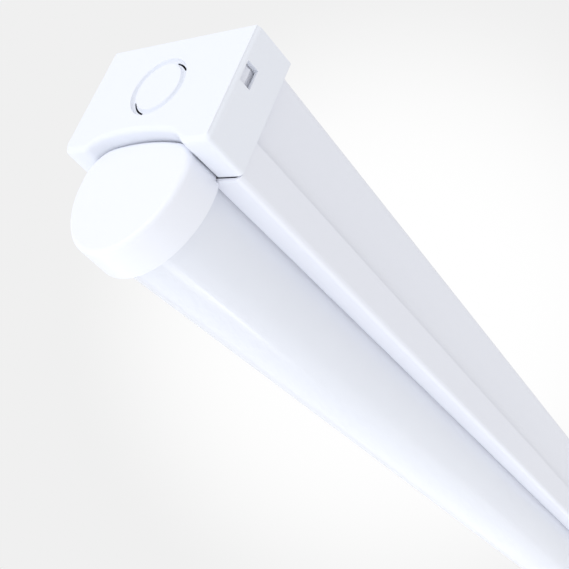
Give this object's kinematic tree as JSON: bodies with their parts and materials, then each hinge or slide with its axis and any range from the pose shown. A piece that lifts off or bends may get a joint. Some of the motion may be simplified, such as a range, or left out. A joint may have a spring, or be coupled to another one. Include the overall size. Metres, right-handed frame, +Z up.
{
  "type": "ceiling batten light",
  "caption": "Slim surface-mounted ceiling batten light with a folded steel spine, lift-off gear tray, opal diffuser and moulded end caps with cable knock-outs",
  "frame": {"origin": "on the ceiling face, midway between the two fixing slots", "axes": "+X along the light towards the far end (the driver's end), +Y across it, +Z up into the ceiling"},
  "size_m": [1.2, 0.0672, 0.078],
  "materials": {
    "body_steel": "white powder-coated sheet steel, satin",
    "body_plastic": "white moulded plastic, satin",
    "cap_plastic": "white moulded plastic, satin",
    "opal_diffuser": "opal extrusion, faintly see-through",
    "spring_steel": "bright spring steel",
    "zinc_screw": "zinc-plated steel",
    "board_white": "white solder mask",
    "emitter_yellow": "yellow phosphor",
    "connector_white": "white nylon",
    "driver_white": "white plastic",
    "driver_cover_metal": "plain aluminium",
    "terminal_grey": "grey plastic",
    "button_brown": "brown plastic",
    "button_blue": "blue plastic",
    "button_green": "green plastic",
    "lead_brown": "brown insulation",
    "lead_blue": "blue insulation",
    "lead_green_yellow": "green and yellow insulation",
    "lead_red": "red insulation",
    "lead_black": "black insulation",
    "bush_rubber": "black rubber",
    "saddle_nylon": "natural nylon"
  },
  "bodies": {
    "base": {"spine": "body_steel"},
    "end_cap_near": {"end_cap_near": "body_plastic"},
    "end_cap_far": {"end_cap_far": "body_plastic"},
    "lamp_module": {"gear_tray": "body_steel", "tray_clip_near": "spring_steel", "tray_clip_far": "spring_steel", "diffuser": "opal_diffuser", "diffuser_cap_near": "cap_plastic", "diffuser_cap_far": "cap_plastic", "diffuser_cap_screws": "zinc_screw", "led_board_near": "board_white", "led_board_far": "board_white", "led_emitters_near": "emitter_yellow", "led_emitters_far": "emitter_yellow", "board_link": "connector_white", "board_socket": "connector_white", "driver_case": "driver_white", "driver_cover": "driver_cover_metal", "driver_screws": "zinc_screw", "terminal_block": "terminal_grey", "live_lead": "lead_brown", "neutral_lead": "lead_blue", "earth_lead": "lead_green_yellow", "earth_screw": "zinc_screw", "output_lead_positive": "lead_red", "output_lead_negative": "lead_black", "lead_bush": "bush_rubber", "lead_saddles": "saddle_nylon"},
    "button_live": {"terminal_button_live": "button_brown"},
    "button_neutral": {"terminal_button_neutral": "button_blue"},
    "button_earth": {"terminal_button_earth": "button_green"}
  },
  "joints": [
    {"name": "end_cap_near_slide", "type": "slide", "parent": "base", "child": "end_cap_near", "axis": [-1, 0, 0], "range_m": [0, 0.03]},
    {"name": "end_cap_far_slide", "type": "slide", "parent": "base", "child": "end_cap_far", "axis": [1, 0, 0], "range_m": [0, 0.03]},
    {"name": "lamp_module_slide", "type": "slide", "parent": "base", "child": "lamp_module", "axis": [0, 0, -1], "range_m": [0, 0.12]},
    {"name": "button_live_slide", "type": "slide", "parent": "lamp_module", "child": "button_live", "axis": [0, 0, -1], "range_m": [0, 0.002], "stiffness_N_per_m": 300},
    {"name": "button_neutral_slide", "type": "slide", "parent": "lamp_module", "child": "button_neutral", "axis": [0, 0, -1], "range_m": [0, 0.002], "stiffness_N_per_m": 300},
    {"name": "button_earth_slide", "type": "slide", "parent": "lamp_module", "child": "button_earth", "axis": [0, 0, -1], "range_m": [0, 0.002], "stiffness_N_per_m": 300}
  ]
}
